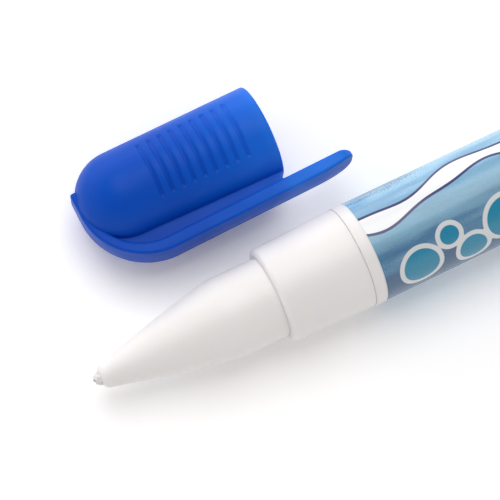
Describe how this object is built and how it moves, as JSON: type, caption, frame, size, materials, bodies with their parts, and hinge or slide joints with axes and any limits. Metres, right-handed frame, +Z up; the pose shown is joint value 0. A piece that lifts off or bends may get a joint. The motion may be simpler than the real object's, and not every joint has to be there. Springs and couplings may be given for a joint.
{
  "type": "correction fluid pen",
  "caption": "Squeeze-barrel correction fluid pen with a sprung needle valve behind a metal tip; its domed clip cap lies taken off beside it.",
  "frame": {"origin": "middle of the part's box in X and Y, on the surface that the pen and its cap lie on", "axes": "+X along the pen from its tip to its base, +Y from the pen to its cap, +Z up"},
  "size_m": [0.1236, 0.0362, 0.015],
  "materials": {
    "bottle_white": "satin moulded polyethylene",
    "label_film": "printed film with a fine metallic grain",
    "nose_white": "satin moulded polypropylene",
    "seal_rubber": "soft, matt",
    "plated_tip": "nickel-plated brass",
    "valve_plastic": "natural acetal",
    "valve_steel": "drawn stainless wire",
    "ball_steel": "ground bearing steel",
    "cap_blue": "royal blue polypropylene, slightly translucent"
  },
  "bodies": {
    "pen": {"bottle": "bottle_white", "label_sleeve": "label_film", "front_collar": "nose_white", "nose_cone": "nose_white", "neck_gasket": "seal_rubber", "metal_tip": "plated_tip", "valve_plug": "valve_plastic", "valve_spring": "valve_steel"},
    "valve": {"valve_pin": "valve_steel", "plunger": "valve_plastic"},
    "ball": {"mixing_ball": "ball_steel"},
    "cap": {"cap": "cap_blue", "tip_seal": "seal_rubber"}
  },
  "joints": [
    {"name": "tip_press", "type": "slide", "parent": "pen", "child": "valve", "axis": [1, 0, 0], "range_m": [0, 0.00035], "stiffness_N_per_m": 300, "springref_m": -0.002, "deforming": ["valve_spring"]},
    {"name": "mixing_ball_slide", "type": "slide", "parent": "pen", "child": "ball", "axis": [1, 0, 0], "range_m": [-0.023, 0.0529]},
    {"name": "cap_carry", "type": "slide", "parent": "pen", "child": "cap", "axis": [-0.9853, -0.171, 0.0039], "range_m": [0, 0.12687]}
  ]
}
